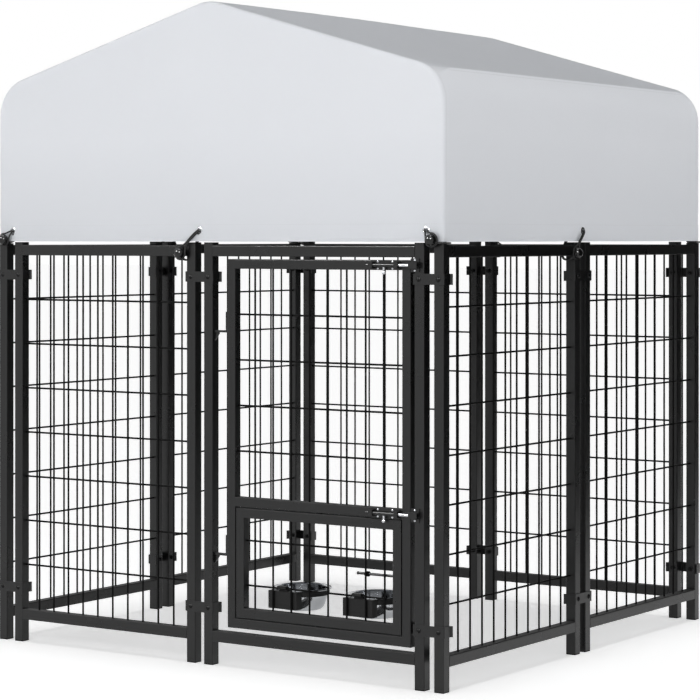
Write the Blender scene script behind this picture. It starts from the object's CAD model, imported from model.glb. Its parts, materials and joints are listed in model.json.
import bmesh
import bpy
import json
import math
from mathutils import Matrix, Vector, noise


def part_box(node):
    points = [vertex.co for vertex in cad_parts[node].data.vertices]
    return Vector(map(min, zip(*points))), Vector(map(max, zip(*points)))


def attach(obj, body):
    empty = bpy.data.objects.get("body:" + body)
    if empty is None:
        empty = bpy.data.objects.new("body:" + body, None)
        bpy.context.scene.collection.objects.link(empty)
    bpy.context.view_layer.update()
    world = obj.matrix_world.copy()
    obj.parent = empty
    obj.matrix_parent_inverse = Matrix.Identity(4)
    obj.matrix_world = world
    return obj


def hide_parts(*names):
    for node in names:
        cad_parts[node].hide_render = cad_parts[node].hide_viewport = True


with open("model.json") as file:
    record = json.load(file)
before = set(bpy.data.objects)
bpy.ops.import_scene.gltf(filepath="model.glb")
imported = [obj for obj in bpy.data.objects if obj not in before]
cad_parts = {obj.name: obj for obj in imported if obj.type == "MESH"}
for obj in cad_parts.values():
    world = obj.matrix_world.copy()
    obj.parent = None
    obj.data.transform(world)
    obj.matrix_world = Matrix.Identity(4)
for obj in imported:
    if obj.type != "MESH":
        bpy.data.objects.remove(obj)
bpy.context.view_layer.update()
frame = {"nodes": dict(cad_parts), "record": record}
nodes = frame["nodes"]
mm = 0.001


# Shader maths: a reading is a socket's value over a surface
class Reading:
    def __init__(self, finish, socket):
        self.finish = finish
        self.socket = socket

    def maths(self, operation, first, second):
        return self.finish.node("Math", {"operation": operation}, {0: first, 1: second})

    def __add__(self, other):
        return self.maths("ADD", self, other)

    def __radd__(self, other):
        return self.maths("ADD", other, self)

    def __sub__(self, other):
        return self.maths("SUBTRACT", self, other)

    def __rsub__(self, other):
        return self.maths("SUBTRACT", other, self)

    def __mul__(self, other):
        return self.maths("MULTIPLY", self, other)

    def __rmul__(self, other):
        return self.maths("MULTIPLY", other, self)

    def __pow__(self, other):
        return self.maths("POWER", self, other)

    def __gt__(self, other):
        return self.maths("GREATER_THAN", self, other)

    def __lt__(self, other):
        return self.maths("LESS_THAN", self, other)

    def size(self):
        return self.maths("ABSOLUTE", self, 0)

    def wave(self, length):
        return self.maths("SINE", self * (2 * math.pi / length), 0)


class Finish:
    def __init__(self, tree):
        self.tree = tree
        tree.nodes.clear()

    def node(self, kind, settings=None, sockets=None, output=0):
        made = self.tree.nodes.new("ShaderNode" + kind)
        for name, value in (settings or {}).items():
            setattr(made, name, value)
        for name, value in (sockets or {}).items():
            if isinstance(value, Reading):
                self.tree.links.new(value.socket, made.inputs[name])
            else:
                made.inputs[name].default_value = value
        return Reading(self, made.outputs[output]) if made.outputs else None

    def place(self):
        return self.node("TexCoord", output="Object")

    def axes(self, vector):
        split = self.node("SeparateXYZ", None, {"Vector": vector})
        return [Reading(self, split.socket.node.outputs[axis]) for axis in "XYZ"]

    def grain(self, scale, detail=2.0, vector=None):
        where = vector or self.place()
        return self.node("TexNoise", None, {"Vector": where, "Scale": scale, "Detail": detail})

    def blend(self, factor, first, second):
        sockets = {0: factor, 6: first, 7: second}
        return self.node("Mix", {"data_type": "RGBA"}, sockets, output=2)

    def relief(self, height, depth, strength=1.0):
        return self.node("Bump", None, {"Strength": strength, "Distance": depth, "Height": height})


def newFinish(name):
    material = bpy.data.materials.new(name)
    material.use_nodes = True
    return material, Finish(material.node_tree)


def shade(grey, tint=(1.0, 1.0, 1.0)):
    return (grey * tint[0], grey * tint[1], grey * tint[2], 1.0)


def closeFinish(finish, sockets):
    surface = finish.node("BsdfPrincipled", None, sockets)
    finish.node("OutputMaterial", None, {"Surface": surface})


print("stage: finishes")
coatLook = {
    "tint": (0.98, 1.0, 1.03),
    "dark": 0.0045,
    "light": 0.0065,
    "specular": 0.38,
    "roughness": 0.28,
    "roughnessSpread": 0.06,
    "flatFrom": 0.7,
    "flatDull": 0.45,
    "peelScale": 620.0,
    "peelDepth": 0.00016,
    "mottleScale": 11.0,
    "mottleDetail": 4.0,
}


def coatSockets(finish):
    look = coatLook
    mottle = finish.grain(look["mottleScale"], look["mottleDetail"])
    peel = finish.grain(look["peelScale"], detail=1.0)
    facing = finish.axes(finish.node("NewGeometry", output="Normal"))[2]
    dusty = look["flatDull"] * (facing.size() > look["flatFrom"])
    dark, light = shade(look["dark"], look["tint"]), shade(look["light"], look["tint"])
    return {
        "Base Color": finish.blend(mottle, dark, light),
        "Roughness": look["roughness"] + look["roughnessSpread"] * (mottle - 0.5) + dusty,
        "Specular IOR Level": look["specular"],
        "Normal": finish.relief(peel, look["peelDepth"]),
    }


def powderCoat():
    material, finish = newFinish("powderCoat")
    closeFinish(finish, coatSockets(finish))
    return material


wireLook = {
    "dark": 0.0015,
    "light": 0.0030,
    "roughness": 0.50,
    "roughnessSpread": 0.08,
    "specular": 0.05,
    "railFoot": 0.0795,
    "railHead": 0.9375,
    "coatScale": 900.0,
    "coatDepth": 0.0001,
}


# The wall grilles carry their rails, which have the frames' coat
def grilleCoat():
    look = wireLook
    material, finish = newFinish("grilleCoat")
    height = finish.axes(finish.place())[2]
    rail = (height < look["railFoot"]) + (height > look["railHead"])
    mottle = finish.grain(coatLook["mottleScale"], coatLook["mottleDetail"])
    fine = finish.grain(look["coatScale"], detail=1.0)
    wire = finish.node("BsdfPrincipled", None, {
        "Base Color": finish.blend(mottle, shade(look["dark"]), shade(look["light"])),
        "Roughness": look["roughness"] + look["roughnessSpread"] * (mottle - 0.5),
        "Specular IOR Level": look["specular"],
        "Normal": finish.relief(fine, look["coatDepth"]),
    })
    tube = finish.node("BsdfPrincipled", None, coatSockets(finish))
    both = finish.node("MixShader", None, {0: rail, 1: wire, 2: tube})
    finish.node("OutputMaterial", None, {"Surface": both})
    return material


fastenerLook = {
    "dark": 0.0012,
    "light": 0.0030,
    "roughness": 0.38,
    "roughnessSpread": 0.2,
    "specular": 0.16,
    "cloudScale": 260.0,
    "cloudDepth": 0.00005,
}


# Black oxide on bolts and nuts
def blackOxide():
    look = fastenerLook
    material, finish = newFinish("blackOxide")
    cloudy = finish.grain(look["cloudScale"], detail=3.0)
    closeFinish(finish, {
        "Base Color": finish.blend(cloudy, shade(look["dark"]), shade(look["light"])),
        "Roughness": look["roughness"] + look["roughnessSpread"] * (cloudy - 0.5),
        "Specular IOR Level": look["specular"],
        "Normal": finish.relief(cloudy, look["cloudDepth"]),
    })
    return material


plasticLook = {
    "dark": 0.0030,
    "light": 0.0055,
    "cloudScale": 40.0,
    "grainScale": 1500.0,
    "roughnessSpread": 0.12,
    "caps": {"roughness": 0.46, "specular": 0.22, "depth": 0.00012},
    "balls": {"roughness": 0.10, "specular": 0.40, "depth": 0.00001},
}


# Caps and brackets are matt, the tie balls polished
def mouldedPlastic(name, gloss):
    look = plasticLook
    material, finish = newFinish(name)
    cloudy = finish.grain(look["cloudScale"], detail=3.0)
    fine = finish.grain(look["grainScale"])
    closeFinish(finish, {
        "Base Color": finish.blend(cloudy, shade(look["dark"]), shade(look["light"])),
        "Roughness": gloss["roughness"] + look["roughnessSpread"] * (cloudy - 0.5),
        "Specular IOR Level": gloss["specular"],
        "Normal": finish.relief(fine, gloss["depth"]),
    })
    return material


steelLook = {
    "zinc": (0.60, 0.61, 0.63, 1.0),
    "zincDull": (0.42, 0.43, 0.45, 1.0),
    "zincRoughness": 0.26,
    "zincCloud": 120.0,
    "scratchScale": (60.0, 900.0, 900.0),
    "scratchSpread": 0.2,
    "scratchDepth": 0.00004,
    "stainless": (0.46, 0.47, 0.485, 1.0),
    "stainlessDull": (0.38, 0.39, 0.405, 1.0),
    "stainlessRoughness": 0.10,
    "stainlessSpread": 0.12,
    "stainlessCloud": 35.0,
    "ringPitch": 0.0011,
    "ringShare": 0.5,
    "ringDepth": 0.00001,
    "blotchScale": 60.0,
    "blotchShare": 0.4,
    "rodRadius": 0.0035,
    "noseFrom": 0.532,
    "handleDrop": 0.0045,
}


def zincSockets(finish):
    look = steelLook
    cloudy = finish.grain(look["zincCloud"], detail=4.0)
    drawn = finish.node("Mapping", None, {"Vector": finish.place(), "Scale": look["scratchScale"]})
    scratches = finish.grain(1.0, vector=drawn)
    return {
        "Base Color": finish.blend(cloudy, look["zincDull"], look["zinc"]),
        "Metallic": 1.0,
        "Roughness": look["zincRoughness"] + look["scratchSpread"] * (scratches - 0.5),
        "Normal": finish.relief(scratches, look["scratchDepth"]),
    }


def zincPlate():
    material, finish = newFinish("zincPlate")
    closeFinish(finish, zincSockets(finish))
    return material


# Slide bolt: coated over its length, bright where nose and handle wear
def boltFinish(name, axisZ):
    material, finish = newFinish(name)
    across, _, height = finish.axes(finish.place())
    worn = (across > steelLook["noseFrom"]) + (height < axisZ - steelLook["handleDrop"])
    coated = finish.node("BsdfPrincipled", None, coatSockets(finish))
    bright = finish.node("BsdfPrincipled", None, zincSockets(finish))
    both = finish.node("MixShader", None, {0: worn, 1: coated, 2: bright})
    finish.node("OutputMaterial", None, {"Surface": both})
    return material


# Spun steel: fine rings round the bowl's own axis
def spunSteel(name, centre):
    look = steelLook
    material, finish = newFinish(name)
    toAxis = (-centre[0], -centre[1], 0)
    spot = finish.node("Mapping", None, {"Vector": finish.place(), "Location": toAxis})
    across, along, _ = finish.axes(spot)
    reach = (across * across + along * along) ** 0.5
    cloudy = finish.grain(look["stainlessCloud"], detail=4.0)
    blotches = look["blotchShare"] * finish.grain(look["blotchScale"])
    rings = reach.wave(look["ringPitch"]) * look["ringShare"] + blotches
    closeFinish(finish, {
        "Base Color": finish.blend(cloudy, look["stainlessDull"], look["stainless"]),
        "Metallic": 1.0,
        "Roughness": look["stainlessRoughness"] + look["stainlessSpread"] * (cloudy - 0.5),
        "Normal": finish.relief(rings, look["ringDepth"]),
    })
    return material


clothLook = {
    "light": (0.80, 0.818, 0.855, 1.0),
    "shaded": (0.765, 0.783, 0.82, 1.0),
    "thread": (0.70, 0.715, 0.745, 1.0),
    "weathered": (0.64, 0.66, 0.695, 1.0),
    "hemFade": 0.24,
    "hemSoil": 0.52,
    "roofSoil": 0.45,
    "soilEven": 0.6,
    "soilCloudy": 0.8,
    "cloudScale": 3.2,
    "roughness": 0.78,
    "roughnessSpread": 0.1,
    "weavePitch": 0.0016,
    "weaveDepth": 0.00012,
    "weaveStrength": 0.6,
    "fuzzScale": 900.0,
    "fuzzShare": 0.6,
    "stitchPitch": 0.006,
    "stitchWidth": 0.0009,
    "stitchFrom": -0.55,
    "stitchRise": 3.0,
    "hemStitches": (0.006, 0.039),
    "edgeStitch": 0.011,
    "gableBand": 0.004,
    "eaveStitches": (-0.006,),
    "eaveStitchEnd": 0.06,
}


# Coated polyester: plain weave, with rows of stitches along hem, eaves and corner seams
def coverCloth(hemZ, seamZ, endY):
    look = clothLook
    material, finish = newFinish("coverCloth")
    across, along, height = finish.axes(finish.place())
    cloudy = finish.grain(look["cloudScale"], detail=5.0)
    threads = (across + along).wave(look["weavePitch"]) * height.wave(look["weavePitch"])
    fuzz = finish.grain(look["fuzzScale"])

    def rows(distance, run, places):
        line = sum(((distance - at).size() < look["stitchWidth"] for at in places[1:]),
                   (distance - places[0]).size() < look["stitchWidth"])
        return line * (run.wave(look["stitchPitch"]) > look["stitchFrom"])

    panel = along.size() < endY - look["gableBand"]
    hem = rows(height - hemZ, across + along, look["hemStitches"])
    creased = along.size() < endY - look["eaveStitchEnd"]
    eave = rows(height - seamZ, along, look["eaveStitches"]) * creased
    edge = rows(endY - along.size(), across + height, (look["edgeStitch"],)) * panel
    stitches = hem + eave + edge
    rise = (height - hemZ) * (1 / look["hemFade"])
    low = 1 - rise.maths("MINIMUM", rise, 1)
    soil = low * look["hemSoil"] * (look["soilEven"] + look["soilCloudy"] * cloudy)
    soil = soil + (height > seamZ) * panel * look["roofSoil"]
    clean = finish.blend(cloudy, look["shaded"], look["light"])
    cloth = finish.blend(soil, clean, look["weathered"])
    surface = threads + look["fuzzShare"] * fuzz + look["stitchRise"] * stitches
    closeFinish(finish, {
        "Base Color": finish.blend(stitches, cloth, look["thread"]),
        "Roughness": look["roughness"] + look["roughnessSpread"] * (cloudy - 0.5),
        "Specular IOR Level": 0.0,
        "Normal": finish.relief(surface, look["weaveDepth"], look["weaveStrength"]),
    })
    return material


cordLook = {
    "dark": 0.006,
    "light": 0.016,
    "roughness": 0.62,
    "roughnessSpread": 0.08,
    "specular": 0.3,
    "braidPitch": 0.006,
    "strands": 3.0,
    "depth": 0.0004,
}


# Braided sleeve on the cord's own map: along its length and round it
def braidedCord():
    look = cordLook
    material, finish = newFinish("braidedCord")
    run, turn, _ = finish.axes(finish.node("TexCoord", output="UV"))
    lay = run * (1 / look["braidPitch"])
    braid = (lay + look["strands"] * turn).wave(1.0) * (lay - look["strands"] * turn).wave(1.0)
    closeFinish(finish, {
        "Base Color": finish.blend(braid * 0.5 + 0.5, shade(look["dark"]), shade(look["light"])),
        "Roughness": look["roughness"] + look["roughnessSpread"] * braid,
        "Specular IOR Level": look["specular"],
        "Normal": finish.relief(braid, look["depth"]),
    })
    return material


# Small helpers for modelling by hand
def deselectAll():
    if bpy.context.object and bpy.context.object.mode != "OBJECT":
        bpy.ops.object.mode_set(mode="OBJECT")
    bpy.ops.object.select_all(action="DESELECT")


def activate(piece):
    deselectAll()
    piece.select_set(True)
    bpy.context.view_layer.objects.active = piece


def applyModifier(piece, kind, **settings):
    activate(piece)
    modifier = piece.modifiers.new(kind.title(), kind)
    for name, value in settings.items():
        setattr(modifier, name, value)
    bpy.ops.object.modifier_apply(modifier=modifier.name)


def smooth(piece, degrees):
    activate(piece)
    bpy.ops.object.shade_smooth_by_angle(angle=math.radians(degrees))


def dress(piece, body, slot, material, *stoodFor):
    piece.data.materials.clear()
    piece.data.materials.append(material)
    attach(piece, body)
    if stoodFor:
        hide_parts(*stoodFor)
    return piece


def copyTo(piece, name, matrix):
    twin = piece.copy()
    twin.data = piece.data.copy()
    twin.name = name
    twin.data.transform(matrix)
    bpy.context.scene.collection.objects.link(twin)
    return twin


mergeDistance = 0.00001


# A turned piece: rings drawn out from a circle, each at its own radius and height
def turned(name, rings, segments, closed=False):
    deselectAll()
    radius, height = rings[0]
    fill = "NOTHING" if closed else "NGON"
    bpy.ops.mesh.primitive_circle_add(
        vertices=segments, radius=radius, fill_type=fill, location=(0, 0, height)
    )
    piece = bpy.context.object
    piece.name = name
    bpy.ops.object.transform_apply(location=True, rotation=True, scale=True)
    bpy.ops.object.mode_set(mode="EDIT")
    bpy.ops.mesh.select_all(action="SELECT")
    if not closed:
        bpy.ops.mesh.region_to_loop()
    for nextRadius, nextHeight in rings[1:]:
        lift = (0, 0, nextHeight - height)
        bpy.ops.mesh.extrude_edges_move(TRANSFORM_OT_translate={"value": lift})
        grow = nextRadius / radius
        bpy.ops.transform.resize(value=(grow, grow, 1), center_override=(0, 0, nextHeight))
        radius, height = nextRadius, nextHeight
    bpy.ops.mesh.select_all(action="SELECT")
    bpy.ops.mesh.remove_doubles(threshold=mergeDistance)
    bpy.ops.mesh.normals_make_consistent(inside=False)
    bpy.ops.object.mode_set(mode="OBJECT")
    return piece


print("stage: camera")
cameraLook = {
    "place": (3.4054, -5.0500, 0.9824),
    "yaw": math.radians(34.183),
    "lens": 124.857,
    "sensor": 36.0,
    "shiftY": -0.16146,
    "clipEnd": 200.0,
}
cameraData = bpy.data.cameras.new("viewCamera")
cameraData.lens = cameraLook["lens"]
cameraData.sensor_width = cameraLook["sensor"]
cameraData.shift_y = cameraLook["shiftY"]
cameraData.clip_end = cameraLook["clipEnd"]
camera = bpy.data.objects.new("viewCamera", cameraData)
camera.location = cameraLook["place"]
camera.rotation_euler = (math.radians(90), 0, cameraLook["yaw"])
bpy.context.scene.collection.objects.link(camera)
bpy.context.scene.camera = camera

print("stage: cover")
coverShape = {
    "pitch": math.radians(16),
    "eaveBend": 0.080,
    "ridgeBend": 0.100,
    "offTube": 0.013,
    "edgeRound": 0.008,
    "thickness": 0.0012,
    "hemRows": (0.0, 0.003, 0.024, 0.041, 0.044),
    "hemBulge": (0.0002, 0.0004, 0.0004, 0.0004, 0.0),
    "skirtRows": 12,
    "eaveLow": math.radians(40),
    "eaveHigh": math.radians(72),
    "eaveEnd": 0.080,
    "eaveSteps": 5,
    "slopeSteps": 14,
    "ridgeSteps": 6,
    "lengthSteps": 62,
    "roundSteps": 6,
    "roofSag": 0.006,
    "roofSagPower": 1.5,
    "roofNormal": 0.5,
    "skirtSag": 0.003,
    "gableSag": 0.0018,
    "gableDepth": 0.0015,
    "gableFirm": 4,
    "gableCrown": 0.1,
    "ripple": 0.0050,
    "rippleScale": (2.6, 2.6, 8.0),
    "rippleShift": (4.0, 7.0, 1.0),
    "pucker": 0.0022,
    "puckerReach": 0.075,
    "puckerFolds": 5,
    "puckerStart": 0.02,
    "puckerIn": 0.5,
    "puckerSwing": 0.3,
    "eyeletClear": 0.012,
    "smooth": 20,
}
coverLow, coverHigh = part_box("cover")
hemZ = coverLow.z
endY = coverHigh.y
legX = coverHigh.x - coverShape["offTube"]
bendTurn = math.pi / 2 - coverShape["pitch"]
apexZ = coverHigh.z - coverShape["offTube"]
apexZ += coverShape["ridgeBend"] * (1 / math.cos(coverShape["pitch"]) - 1)
apexCentreZ = apexZ - coverShape["ridgeBend"] / math.cos(coverShape["pitch"])
eaveTangent = coverShape["eaveBend"] * math.tan(bendTurn / 2)
bendZ = apexZ - legX * math.tan(coverShape["pitch"]) - eaveTangent

tieShape = {
    "wallTop": 0.970,
    "halfWidth": 0.640,
    "halfDepth": 0.620,
    "gateJoint": -0.0225,
    "cornerInset": 0.045,
    "eyeletZ": 0.996,
}
half = (tieShape["halfWidth"], tieShape["halfDepth"])
middleJoints = [
    ((tieShape["gateJoint"], -half[1]), 0),
    ((half[0], 0.0), 90),
    ((0.0, half[1]), 180),
    ((-half[0], 0.0), -90),
]


# Places of the eyelets on the cover, with +Y into the cloth
def eyeletPlaces():
    reach = endY - half[1]
    places = []
    for (x, y), turn in middleJoints:
        spin = Matrix.Rotation(math.radians(turn), 4, "Z")
        joint = Matrix.Translation((x, y, tieShape["eyeletZ"]))
        places.append(joint @ spin @ Matrix.Translation((0, -reach, 0)))
    for turn in (0, 180):
        spin = Matrix.Rotation(math.radians(turn), 4, "Z")
        for side in (-1, 1):
            x = side * (half[0] - tieShape["cornerInset"])
            places.append(spin @ Matrix.Translation((x, -endY, tieShape["eyeletZ"])))
    return places


# How far the eave is creased: round at the gables, sharp between them
def creaseAt(y):
    part = max(0.0, min(1.0, (endY - abs(y)) / coverShape["eaveEnd"]))
    return part * part * (3 - 2 * part)


# The eave: two arcs that meet in a crease at the sewn seam
def eaveArcs(radius, crease):
    middle = bendTurn / 2
    low = middle + (coverShape["eaveLow"] - middle) * crease
    high = middle + (coverShape["eaveHigh"] - middle) * crease
    c, s = math.cos(bendTurn), math.sin(bendTurn)
    a, b = 1 - math.cos(low), math.sin(low)
    d, e = math.cos(high) - c, s - math.sin(high)
    span = a * e - d * b
    lowRadius = radius * ((1 - c) * e - d * s) / span
    highRadius = radius * (a * s - b * (1 - c)) / span
    steps = coverShape["eaveSteps"]
    points = []
    for i in range(1, steps + 1):
        turn = low * i / steps
        points.append((radius - lowRadius + lowRadius * math.cos(turn), lowRadius * math.sin(turn)))
    for i in range(1, steps + 1):
        turn = high + (bendTurn - high) * i / steps
        points.append(((radius - highRadius) * c + highRadius * math.cos(turn),
                       (radius - highRadius) * s + highRadius * math.sin(turn)))
    return points


# Half the cover's outline from the hem up to the ridge, at a distance from the roof tube
def halfOutline(off, crease):
    shape = coverShape
    rise = bendZ - hemZ
    band = shape["hemRows"][-1]
    rows = list(shape["hemRows"])
    rows += [band + (rise - band) * i / shape["skirtRows"] for i in range(1, shape["skirtRows"] + 1)]
    bulge = list(shape["hemBulge"]) + [0.0] * shape["skirtRows"]
    points = [(legX + off + out, hemZ + up) for up, out in zip(rows, bulge)]
    bendX = legX - shape["eaveBend"]
    points += [(bendX + x, bendZ + z) for x, z in eaveArcs(shape["eaveBend"] + off, crease)]
    ridge = shape["ridgeBend"] + off
    start = points[-1]
    end = (ridge * math.cos(bendTurn), apexCentreZ + ridge * math.sin(bendTurn))
    for i in range(1, shape["slopeSteps"]):
        part = i / shape["slopeSteps"]
        points.append(tuple(p + (q - p) * part for p, q in zip(start, end)))
    for i in range(shape["ridgeSteps"] + 1):
        turn = bendTurn + (math.pi / 2 - bendTurn) * i / shape["ridgeSteps"]
        points.append((ridge * math.cos(turn), apexCentreZ + ridge * math.sin(turn)))
    return points


def coverOutline(off, crease):
    right = halfOutline(off, crease)
    return right + [(-x, z) for x, z in reversed(right[:-1])]


def coverSheet():
    shape = coverShape
    rounding = shape["edgeRound"]
    rings = []
    for i in range(shape["roundSteps"], 0, -1):
        turn = math.pi / 2 * i / shape["roundSteps"]
        rings.append((-endY + rounding - rounding * math.sin(turn), rounding * (1 - math.cos(turn))))
    inner = endY - rounding
    steps = shape["lengthSteps"]
    straight = [(inner * (2 * i / steps - 1), 0.0) for i in range(steps + 1)]
    rings = rings + straight + [(-y, inset) for y, inset in reversed(rings)]
    sheet = bmesh.new()
    grid = []
    for y, inset in rings:
        outline = coverOutline(shape["offTube"] - inset, creaseAt(y))
        grid.append([sheet.verts.new((x, y, z)) for x, z in outline])
    count = len(grid[0])
    for here, there in zip(grid, grid[1:]):
        for i in range(count - 1):
            sheet.faces.new((here[i], here[i + 1], there[i + 1], there[i]))
    topRow = len(shape["hemRows"]) + shape["skirtRows"] - 1
    for ring in (grid[0], grid[-1]):
        gableEnd(sheet, ring, topRow)
    sheet.normal_update()
    bmesh.ops.recalc_face_normals(sheet, faces=sheet.faces)
    top = max(sheet.faces, key=lambda face: face.calc_center_median().z)
    if top.normal.z < 0:
        bmesh.ops.reverse_faces(sheet, faces=sheet.faces)
    sheet.normal_update()
    drape(sheet)
    return sheet


# A gable: columns from the hem up to the roof's edge, sharing the edge's own points
def gableEnd(sheet, ring, topRow):
    shape = coverShape
    last = len(ring) - 1
    y = ring[0].co.y
    band = shape["hemRows"]
    out = 1 if y > 0 else -1
    columns = [ring[: topRow + 1]]
    for i in range(topRow + 1, last - topRow):
        crown = ring[i]
        column = []
        for j in range(topRow):
            if j < len(band):
                z = hemZ + band[j]
            else:
                part = (j - len(band) + 1) / shape["skirtRows"]
                z = hemZ + band[-1] + (crown.co.z - hemZ - band[-1]) * part
            bulge = shape["hemBulge"][j] if j < len(band) else 0.0
            column.append(sheet.verts.new((crown.co.x, y + out * bulge, z)))
        columns.append(column + [crown])
    columns.append(list(reversed(ring[last - topRow:])))
    for left, right in zip(columns, columns[1:]):
        for j in range(topRow):
            sheet.faces.new((left[j], right[j], right[j + 1], left[j + 1]))


# How the tight cloth gives: a little sag between the tubes, puckers at the eyelets
def drape(sheet):
    shape = coverShape
    eyelets = [place.to_translation() for place in eyeletPlaces()]
    moves = []
    for vert in sheet.verts:
        p, n = vert.co, vert.normal
        alongY = max(0.0, 1 - (p.y / endY) ** 2)
        alongX = max(0.0, 1 - (p.x / coverHigh.x) ** 2)
        up = (p.z - hemZ) / (bendZ - hemZ)
        if abs(p.y) > endY - shape["gableDepth"]:
            firm = max(0.0, min(1.0, shape["gableFirm"] * up))
            slack = alongX * firm * min(1.0, (coverHigh.z - p.z) / shape["gableCrown"])
            give = -shape["gableSag"] * slack
        elif n.z > shape["roofNormal"]:
            hang = math.sin(math.pi * min(1.0, abs(p.x) / legX)) ** shape["roofSagPower"]
            give = -shape["roofSag"] * alongY * hang
            slack = alongY * alongX
        else:
            slack = alongY * max(0.0, math.sin(math.pi * min(1.0, max(0.0, up))))
            give = -shape["skirtSag"] * slack
        spot = Vector([a * b for a, b in zip(p, shape["rippleScale"])]) + Vector(shape["rippleShift"])
        ripple = (0.5 + 0.5 * noise.noise(spot)) * shape["ripple"] * slack
        pull = 0.0
        for eyelet in eyelets:
            away = p - eyelet
            clear = away.length - shape["eyeletClear"]
            if clear > 0 and away.length < shape["puckerReach"] * 3:
                fold = math.cos(shape["puckerFolds"] * math.atan2(away.z, away.x + away.y))
                fade = math.exp(-(clear / shape["puckerReach"]) ** 2)
                pull += shape["pucker"] * fade * fold * min(1.0, clear / shape["puckerStart"])
        pucker = pull * shape["puckerSwing"] - abs(pull) * shape["puckerIn"]
        moves.append((vert, n * (give + ripple + pucker)))
    for vert, move in moves:
        vert.co += move


eyeletShape = {
    "segments": 48,
    "hole": 0.0050,
    "crown": 0.0072,
    "rim": 0.0099,
    "lip": 0.0012,
    "cloth": 0.002,
    "barrelRound": (0.0003, 0.6),
    "shoulder": 0.0010,
    "rimRound": (0.0008, 0.7),
    "punch": {"vertices": 40, "radius": 0.0069, "depth": 0.02},
    "smooth": 40,
}
toFront = Matrix.Rotation(math.radians(90), 4, "X")


# The punch that makes the holes for the eyelets
def eyeletCutter():
    deselectAll()
    cutters = []
    for place in eyeletPlaces():
        bpy.ops.mesh.primitive_cylinder_add(**eyeletShape["punch"])
        cutter = bpy.context.object
        cutter.data.transform(place @ toFront)
        cutters.append(cutter)
    for cutter in cutters:
        cutter.select_set(True)
    bpy.context.view_layer.objects.active = cutters[0]
    bpy.ops.object.join()
    return bpy.context.object


coverMesh = bpy.data.meshes.new("fitted_cover")
sheet = coverSheet()
sheet.to_mesh(coverMesh)
sheet.free()
cover = bpy.data.objects.new("fitted_cover", coverMesh)
bpy.context.scene.collection.objects.link(cover)
applyModifier(cover, "SOLIDIFY", thickness=coverShape["thickness"], offset=-1.0)
cutter = eyeletCutter()
applyModifier(cover, "BOOLEAN", operation="DIFFERENCE", object=cutter, solver="EXACT")
bpy.data.objects.remove(cutter)
smooth(cover, coverShape["smooth"])
creasedEave = eaveArcs(coverShape["eaveBend"] + coverShape["offTube"], 1.0)
seamZ = bendZ + creasedEave[coverShape["eaveSteps"] - 1][1]
dress(cover, "kennel", "cover_cloth", coverCloth(hemZ, seamZ, endY), "cover")

print("stage: eyelets and ties")


# A rolled eyelet: barrel through the cloth and a domed lip on each face
def rolledEyelet():
    shape = eyeletShape
    hole, crown, rim, lip = shape["hole"], shape["crown"], shape["rim"], shape["lip"]
    barrelOut, barrelRise = shape["barrelRound"]
    rimIn, rimRise = shape["rimRound"]
    deep = -shape["cloth"]
    face = [(hole, 0.0), (hole + barrelOut, barrelRise * lip), (hole + shape["shoulder"], lip)]
    face += [(crown, lip), (rim - rimIn, rimRise * lip), (rim, 0.0)]
    back = [(r, deep - z) for r, z in reversed(face)]
    return turned("eyelet", face + back + [face[0]], shape["segments"], closed=True)


eyelet = rolledEyelet()
zinc = zincPlate()
for i, place in enumerate(eyeletPlaces()):
    twin = copyTo(eyelet, f"eyelet_{i + 1}", place @ toFront)
    smooth(twin, eyeletShape["smooth"])
    dress(twin, "kennel", "plated_steel", zinc, "eyelets")
bpy.data.objects.remove(eyelet)

# Routes of the elastic loops, from the joint's middle or the corner's edge, in millimetres.
# Each stretch lies flat on what it faces away from
tieRoutes = {
    "middle": [
        ("front", [(-34, -8, -4), (-15, -7, 14), (-3, -5, 24)]),
        ("over", [(0, -1, 26), (0, 4, 26)]),
        ("back", [(-4, 11, 23), (-16, 21, 14), (-28, 29, 3), (-38, 30, -14), (-44, 30, -32)]),
        ("under", [(-47, 22, -40), (-48, 6, -40), (-49, -6, -33)]),
    ],
    "corner": [
        ("front", [(43, -5, 25)]),
        ("over", [(45, -1, 26), (45, 4, 26), (42, 11, 22), (36, 19, 14), (26, 26, 6), (15, 27, 0)]),
        ("over", [(4, 25, -0.6), (-3, 19, -0.6), (-4.5, 9, -0.6)]),
        ("over", [(0, 0, -0.6), (8, -5, -0.6), (17, -9, 1)]),
    ],
    "middleBall": (-49, -13.3, -25),
    "cornerBall": (25, -13.8, 6),
    "hook": [(14, 7.5, 3.8), (5, 13.8, 2.8), (-5, 13.8, 2.8), (-12, 8, 3.8)],
    "hookEnd": (-14.6, 0, 3.8),
    "apart": 2.1,
    "cordRadius": 0.002,
    "cordSides": 12,
    "steps": 5,
    "startNormal": (0.2, 0.3, 0.9),
    "smooth": 60,
}
facings = {"front": (0, -1, 0), "over": (0, 0, 1), "back": (0, 1, 0), "under": (0, 0, -1)}


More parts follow.
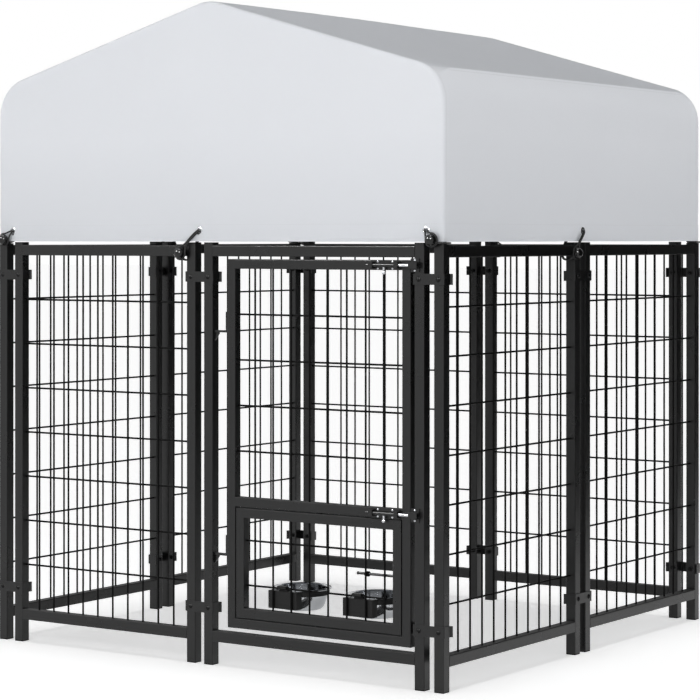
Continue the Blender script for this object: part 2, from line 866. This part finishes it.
# One loop: two strands side by side from inside the ball, round the tube and out through the eyelet,
# where they part to hook round the ball
def tieStrands(kind):
    ball = Vector(tieRoutes[kind + "Ball"])
    points, faces = [], []
    for facing, stretch in tieRoutes[kind]:
        points += [Vector(point) for point in stretch]
        faces += [Vector(facings[facing])] * len(stretch)
    sides = []
    for i, face in enumerate(faces):
        heading = points[min(i + 1, len(points) - 1)] - points[max(i - 1, 0)]
        sides.append(heading.cross(face).normalized() * tieRoutes["apart"])
    towards = points[0] - ball
    along = Vector((towards.x, 0, towards.z)).normalized()
    across = along.cross(Vector((0, -1, 0)))
    inward = Vector((0, 1, 0))

    def hooked(spot, side):
        return ball + along * spot[0] + across * spot[1] * side + inward * spot[2]

    there = [point + side for point, side in zip(reversed(points), reversed(sides))]
    there += [hooked(spot, 1) for spot in tieRoutes["hook"]]
    back = [hooked(spot, -1) for spot in reversed(tieRoutes["hook"])]
    back += [point - side for point, side in zip(points, sides)]
    return there + [hooked(tieRoutes["hookEnd"], 0)] + back


# Frames of all ties: where a route's own origin lies
def tiePlaces():
    lift = tieShape["wallTop"]
    places = []
    for (x, y), turn in middleJoints:
        spin = Matrix.Rotation(math.radians(turn), 4, "Z")
        places.append(("middle", Matrix.Translation((x, y, lift)) @ spin))
    for turn in (0, 180):
        for flip in (1, -1):
            spin = Matrix.Rotation(math.radians(turn), 4, "Z") @ Matrix.Diagonal((flip, 1, 1, 1))
            places.append(("corner", spin @ Matrix.Translation((-half[0], -half[1], lift))))
    return places


# A soft curve through all points of a route
def softCurve(points, steps):
    run = [2 * points[0] - points[1]] + points + [2 * points[-1] - points[-2]]
    curve = []
    for a, b, c, d in zip(run, run[1:], run[2:], run[3:]):
        for i in range(steps):
            t = i / steps
            square = (2 * a - 5 * b + 4 * c - d) * t ** 2
            cube = (3 * b - a - 3 * c + d) * t ** 3
            curve.append(0.5 * (2 * b + (c - a) * t + square + cube))
    return curve + [points[-1]]


# A cord swept along its curve, with a map of its length and its turn
def tieLoop(name, curve):
    sides, radius = tieRoutes["cordSides"], tieRoutes["cordRadius"]
    tube = bmesh.new()
    mapping = tube.loops.layers.uv.new("cordMap")
    rings, runs = [], []
    normal = Vector(tieRoutes["startNormal"])
    turns = [2 * math.pi * j / sides for j in range(sides)]
    run = 0.0
    for i, point in enumerate(curve):
        heading = (curve[min(i + 1, len(curve) - 1)] - curve[max(i - 1, 0)]).normalized()
        normal = (normal - heading * normal.dot(heading)).normalized()
        side = heading.cross(normal)
        run += (point - curve[i - 1]).length if i else 0.0
        runs.append(run)
        spokes = [radius * (math.cos(t) * normal + math.sin(t) * side) for t in turns]
        rings.append([tube.verts.new(point + spoke) for spoke in spokes])
    for i in range(len(rings) - 1):
        for j in range(sides):
            k = (j + 1) % sides
            face = tube.faces.new((rings[i][j], rings[i][k], rings[i + 1][k], rings[i + 1][j]))
            marks = [(runs[i], j), (runs[i], j + 1), (runs[i + 1], j + 1), (runs[i + 1], j)]
            for loop, (along, turn) in zip(face.loops, marks):
                loop[mapping].uv = (along, turn / sides)
    tube.faces.new(list(reversed(rings[0])))
    tube.faces.new(rings[-1])
    bmesh.ops.recalc_face_normals(tube, faces=tube.faces)
    mesh = bpy.data.meshes.new(name)
    tube.to_mesh(mesh)
    tube.free()
    piece = bpy.data.objects.new(name, mesh)
    bpy.context.scene.collection.objects.link(piece)
    return piece, run


ballShape = {
    "radius": 0.013,
    "body": 0.985,
    "segments": 48,
    "rings": 32,
    "equator": 0.02,
    "seamWidth": 0.05,
    "seamMiddle": 0.01,
    "seamSwell": 1.013,
    "tilt": 0.6,
    "smooth": 40,
}


# A moulded ball with its parting line
def tieBall():
    shape = ballShape
    radius = shape["radius"]
    deselectAll()
    bpy.ops.mesh.primitive_uv_sphere_add(
        segments=shape["segments"], ring_count=shape["rings"], radius=radius * shape["body"]
    )
    ball = bpy.context.object
    bpy.ops.object.mode_set(mode="EDIT")
    bpy.ops.mesh.select_all(action="DESELECT")
    bpy.ops.object.mode_set(mode="OBJECT")
    for edge in ball.data.edges:
        heights = [abs(ball.data.vertices[v].co.z) for v in edge.vertices]
        edge.select = max(heights) < radius * shape["equator"]
    bpy.ops.object.mode_set(mode="EDIT")
    bpy.ops.mesh.bevel(offset=radius * shape["seamWidth"], segments=2)
    bpy.ops.object.mode_set(mode="OBJECT")
    for vert in ball.data.vertices:
        vert.select = abs(vert.co.z) < radius * shape["seamMiddle"]
    bpy.ops.object.mode_set(mode="EDIT")
    bpy.ops.mesh.select_mode(type="VERT")
    swell = shape["seamSwell"]
    bpy.ops.transform.resize(value=(swell, swell, 1), center_override=(0, 0, 0))
    bpy.ops.object.mode_set(mode="OBJECT")
    return ball


braid = braidedCord()
ballPlastic = mouldedPlastic("ballPlastic", plasticLook["balls"])
ball = tieBall()
tilt = Matrix.Rotation(ballShape["tilt"], 4, "Y")
for i, (kind, place) in enumerate(tiePlaces()):
    route = [place @ (point * mm) for point in tieStrands(kind)]
    loop, length = tieLoop(f"tie_cord_{i + 1}", softCurve(route, tieRoutes["steps"]))
    smooth(loop, tieRoutes["smooth"])
    dress(loop, "kennel", "elastic_cord", braid, "tie_cords")
    spot = place @ (Vector(tieRoutes[kind + "Ball"]) * mm)
    twin = copyTo(ball, f"tie_ball_{i + 1}", Matrix.Translation(spot) @ tilt)
    smooth(twin, ballShape["smooth"])
    dress(twin, "kennel", "moulded_plastic", ballPlastic, "tie_balls")
    print(f"  tie {i + 1}: {kind}, cord {length:.3f} m")
bpy.data.objects.remove(ball)

print("stage: bowls")
bowlShape = {
    "segments": 96,
    "foot": 0.0415,
    "neck": 0.0585,
    "rim": 0.0678,
    "rimHeight": 0.0035,
    "sheet": 0.0012,
    "wallSteps": 12,
    "footRings": [(0.55, 0.0012), (0.62, 0.0), (0.97, 0.0)],
    "flareRings": [(0.25, 0.0010), (0.6, 0.0018)],
    "rollRings": [(0.0016, 0.0023), (0.0005, 0.0018), (0.0, 0.0010), (0.0005, 0.0002)],
    "smooth": 35,
}


# A spun bowl: flat foot with a rounded heel, curved wall, wide rim rolled over at its edge.
# Foot and flare rings are shares of their own width, roll rings are set in from the rim
def spunBowl(name, height):
    shape = bowlShape
    foot, neck, rim = shape["foot"], shape["neck"], shape["rim"]
    wall = height - shape["rimHeight"]
    rings = [(foot * share, rise) for share, rise in shape["footRings"]]
    for i in range(1, shape["wallSteps"] + 1):
        turn = math.pi / 2 * i / shape["wallSteps"]
        rings.append((foot + (neck - foot) * math.sin(turn), wall * (1 - math.cos(turn))))
    rings += [(neck + (rim - neck) * share, wall + rise) for share, rise in shape["flareRings"]]
    rings += [(rim - inset, wall + rise) for inset, rise in shape["rollRings"]]
    bowl = turned(name, rings, shape["segments"])
    applyModifier(bowl, "SOLIDIFY", thickness=shape["sheet"], offset=1.0)
    return bowl


for side in ("left", "right"):
    low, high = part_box(side + "_bowl")
    centre = (low + high) / 2
    bowl = spunBowl(side + "_spun_bowl", high.z - low.z - bowlShape["sheet"])
    bowl.data.transform(Matrix.Translation((centre.x, centre.y, low.z)))
    smooth(bowl, bowlShape["smooth"])
    steel = spunSteel(side + "BowlSteel", centre)
    dress(bowl, side + "_bowl", "stainless_steel", steel, side + "_bowl")

print("stage: screws")
screwShape = {
    "segments": 28,
    "head": 0.0026,
    "height": 0.0015,
    "slot": (0.0036, 0.0007, 0.0012),
    "rings": [(0.3, 0.0), (1.0, 0.0), (1.0, 0.45), (0.93, 0.75), (0.74, 0.95), (0.35, 1.0), (0.02, 1.0)],
    "turnStep": 0.5,
    "smooth": 35,
}


# Pan-head screw with a cross recess, its head along +Z. Rings are shares of its radius and height
def panScrew():
    shape = screwShape
    head, height = shape["head"], shape["height"]
    screw = turned("screw", [(head * r, height * z) for r, z in shape["rings"]], shape["segments"])
    cutters = []
    for turn in (0, 90):
        deselectAll()
        bpy.ops.mesh.primitive_cube_add(size=1, location=(0, 0, height))
        bpy.ops.transform.resize(value=shape["slot"])
        bpy.ops.object.transform_apply(location=True, rotation=True, scale=True)
        cutter = bpy.context.object
        cutter.data.transform(Matrix.Rotation(math.radians(turn), 4, "Z"))
        cutters.append(cutter)
    for cutter in cutters:
        applyModifier(screw, "BOOLEAN", operation="DIFFERENCE", object=cutter, solver="EXACT")
        bpy.data.objects.remove(cutter)
    return screw


# Screws beside the guides of each bolt plate and on the ears of each keeper
plateShape = {"thickness": 0.002, "spread": 0.019, "lift": 0.0075, "earLift": 0.0112}
plateSpots = [(x * plateShape["spread"], z * plateShape["lift"]) for x in (-1, 1) for z in (-1, 1)]
earSpots = [(0.0, z * plateShape["earLift"]) for z in (-1, 1)]
screw = panScrew()
for level in ("upper", "lower"):
    for holder, body, spots in (("_bolt_plate", "door", plateSpots), ("_keeper", "kennel", earSpots)):
        low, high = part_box(level + holder)
        middle = (low + high) / 2
        face = high.y - plateShape["thickness"]
        for i, (dx, dz) in enumerate(spots):
            place = Matrix.Translation((middle.x + dx, face, middle.z + dz)) @ toFront
            spin = Matrix.Rotation(screwShape["turnStep"] * i, 4, "Z")
            twin = copyTo(screw, f"{level}{holder}_screw_{i + 1}", place @ spin)
            smooth(twin, screwShape["smooth"])
            dress(twin, body, "plated_steel", zinc)
bpy.data.objects.remove(screw)

print("stage: hinge gussets")
coat = powderCoat()
gussetShape = {
    "postWidth": 0.025,
    "sink": 0.0004,
    "pinHeight": 0.055,
    "reach": 0.0125,
    "thickness": 0.0045,
    "deep": 0.020,
    "tip": 0.003,
    "edge": 0.0006,
    "smooth": 30,
}


# A gusset under a hinge arm: a block whose far end is drawn up to the arm
def hingeGusset(name, corner):
    shape = gussetShape
    middle = corner + Vector((shape["reach"], 0, -shape["deep"])) / 2
    deselectAll()
    bpy.ops.mesh.primitive_cube_add(size=1, location=middle)
    bpy.ops.transform.resize(value=(shape["reach"], shape["thickness"], shape["deep"]))
    bpy.ops.object.transform_apply(location=True, rotation=True, scale=True)
    gusset = bpy.context.object
    gusset.name = name
    bpy.ops.object.mode_set(mode="EDIT")
    bpy.ops.mesh.select_all(action="DESELECT")
    bpy.ops.mesh.select_mode(type="VERT")
    bpy.ops.object.mode_set(mode="OBJECT")
    for vert in gusset.data.vertices:
        vert.select = vert.co.x > middle.x and vert.co.z < middle.z
    bpy.ops.object.mode_set(mode="EDIT")
    bpy.ops.transform.translate(value=(0, 0, shape["deep"] - shape["tip"]))
    bpy.ops.object.mode_set(mode="OBJECT")
    applyModifier(gusset, "BEVEL", width=shape["edge"], segments=3, limit_method="NONE")
    return gusset


pinLow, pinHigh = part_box("hinge_pins")
pinY = (pinLow.y + pinHigh.y) / 2
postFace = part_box("gate_uprights")[0].x + gussetShape["postWidth"] - gussetShape["sink"]
for name, armZ in (("lower", pinLow.z), ("upper", pinHigh.z - gussetShape["pinHeight"])):
    gusset = hingeGusset(name + "_hinge_gusset", Vector((postFace, pinY, armZ)))
    smooth(gusset, gussetShape["smooth"])
    dress(gusset, "kennel", "powder_coat", coat)

print("stage: finishes on the frame")
grille = grilleCoat()
plastic = mouldedPlastic("mouldedPlastic", plasticLook["caps"])
frameSmooth = 30
# Solids of cloth, cord and bowls are replaced and don't show
slotFinishes = {
    "powder_coat": coat,
    "wire_coat": grille,
    "moulded_plastic": plastic,
    "plated_steel": zinc,
    "stainless_steel": zinc,
    "cover_cloth": coat,
    "elastic_cord": braid,
}
for row in frame["record"]["subparts"]:
    part = nodes[row["node"]]
    part.data.materials.clear()
    part.data.materials.append(slotFinishes[row["material_slot"]])
    smooth(part, frameSmooth)
oxide = blackOxide()
for name in ("clamp_bolts", "clamp_nuts", "feeder_pivots"):
    nodes[name].data.materials[0] = oxide
for level in ("upper", "lower"):
    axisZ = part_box(level + "_bolt_rod")[1].z - steelLook["rodRadius"]
    nodes[level + "_bolt_rod"].data.materials[0] = boltFinish(level + "Bolt", axisZ)

print("stage: floor and light")
lightLook = {
    "floorSize": 120.0,
    "floorTone": 0.90,
    "floorGlow": 0.515,
    "horizon": 4.5,
    "falloff": 5.5,
    "keyPlace": (1.6, -6.0, 2.2),
    "keyAim": (0, 0, 1),
    "keySize": 4.0,
    "keyPower": 78.0,
    "topPlace": (0, 0, 4),
    "topStrength": 1.0,
    "topSpread": math.radians(14),
    "glintPlaces": [(-1.6, -3.4, 3.4), (2.6, -3.6, 2.9)],
    "glintAim": (0.2, -0.6, 0.5),
    "glintSize": 1.0,
    "glintPower": 220.0,
    "cardX": 1.6,
    "cardFrom": (-0.6, 0.0),
    "cardTo": (6.6, 4.0),
    "cardTone": 0.003,
}


# Camera, mirror and glass rays see plain white
def seenWhite(finish):
    seen = 1.0
    for ray in ("Is Camera Ray", "Is Glossy Ray", "Is Transmission Ray"):
        seen = seen * (1 - finish.node("LightPath", output=ray))
    return 1 - seen


def studioFloor():
    deselectAll()
    bpy.ops.mesh.primitive_grid_add(x_subdivisions=4, y_subdivisions=4, size=lightLook["floorSize"])
    floor = bpy.context.object
    floor.name = "studioFloor"
    material, finish = newFinish("studioFloor")
    matt = finish.node("BsdfDiffuse", None, {"Color": shade(lightLook["floorTone"])})
    glow = finish.node("Emission", None, {"Strength": lightLook["floorGlow"] * seenWhite(finish)})
    both = finish.node("AddShader", None, {0: matt, 1: glow})
    finish.node("OutputMaterial", None, {"Surface": both})
    floor.data.materials.append(material)


def studioSky():
    world = bpy.data.worlds.new("studioSky")
    bpy.context.scene.world = world
    world.use_nodes = True
    finish = Finish(world.node_tree)
    up = finish.axes(finish.node("TexCoord", output="Generated"))[2]
    sky = lightLook["horizon"] * (1 - up.maths("MAXIMUM", up, 0)) ** lightLook["falloff"]
    white = seenWhite(finish)
    strength = white + (1 - white) * sky
    backdrop = finish.node("Background", None, {"Color": shade(1.0), "Strength": strength})
    finish.node("OutputWorld", None, {"Surface": backdrop})


# A square lamp with the light of one of the settings: key or glint
def squareLamp(name, kind, place):
    lamp = bpy.data.lights.new(name, "AREA")
    lamp.shape = "SQUARE"
    lamp.size = lightLook[kind + "Size"]
    lamp.energy = lightLook[kind + "Power"]
    holder = bpy.data.objects.new(name, lamp)
    holder.location = place
    facing = Vector(lightLook[kind + "Aim"]) - holder.location
    holder.rotation_euler = facing.to_track_quat("-Z", "Y").to_euler()
    bpy.context.scene.collection.objects.link(holder)
    return holder


def keyLamp():
    holder = squareLamp("keyLamp", "key", lightLook["keyPlace"])
    holder.visible_glossy = False


# Soft light from overhead, which draws the shadow on the floor
def topLamp():
    lamp = bpy.data.lights.new("topLamp", "SUN")
    lamp.energy = lightLook["topStrength"]
    lamp.angle = lightLook["topSpread"]
    holder = bpy.data.objects.new("topLamp", lamp)
    holder.location = lightLook["topPlace"]
    bpy.context.scene.collection.objects.link(holder)


# Lamps that light no matt surface, for the glints on balls, bowls and eyelets
def glintLamps():
    for i, place in enumerate(lightLook["glintPlaces"]):
        holder = squareLamp(f"glintLamp{i + 1}", "glint", place)
        holder.visible_diffuse = False


# A dark card on the right, seen only in reflections
def darkCard():
    deselectAll()
    bpy.ops.mesh.primitive_grid_add(x_subdivisions=2, y_subdivisions=2, size=1)
    card = bpy.context.object
    card.name = "darkCard"
    (nearY, lowZ), (farY, highZ) = lightLook["cardFrom"], lightLook["cardTo"]
    card.data.transform(Matrix.Rotation(math.radians(90), 4, "Y"))
    card.data.transform(Matrix.Diagonal((1, farY - nearY, highZ - lowZ, 1)))
    middle = (lightLook["cardX"], (nearY + farY) / 2, (lowZ + highZ) / 2)
    card.data.transform(Matrix.Translation(middle))
    material, finish = newFinish("darkCard")
    matt = finish.node("BsdfDiffuse", None, {"Color": shade(lightLook["cardTone"])})
    finish.node("OutputMaterial", None, {"Surface": matt})
    card.data.materials.append(material)
    for ray in ("camera", "diffuse", "transmission", "shadow", "volume_scatter"):
        setattr(card, "visible_" + ray, False)


studioFloor()
studioSky()
keyLamp()
topLamp()
glintLamps()
darkCard()
bpy.context.scene.view_settings.view_transform = "Standard"

print("stage: size")
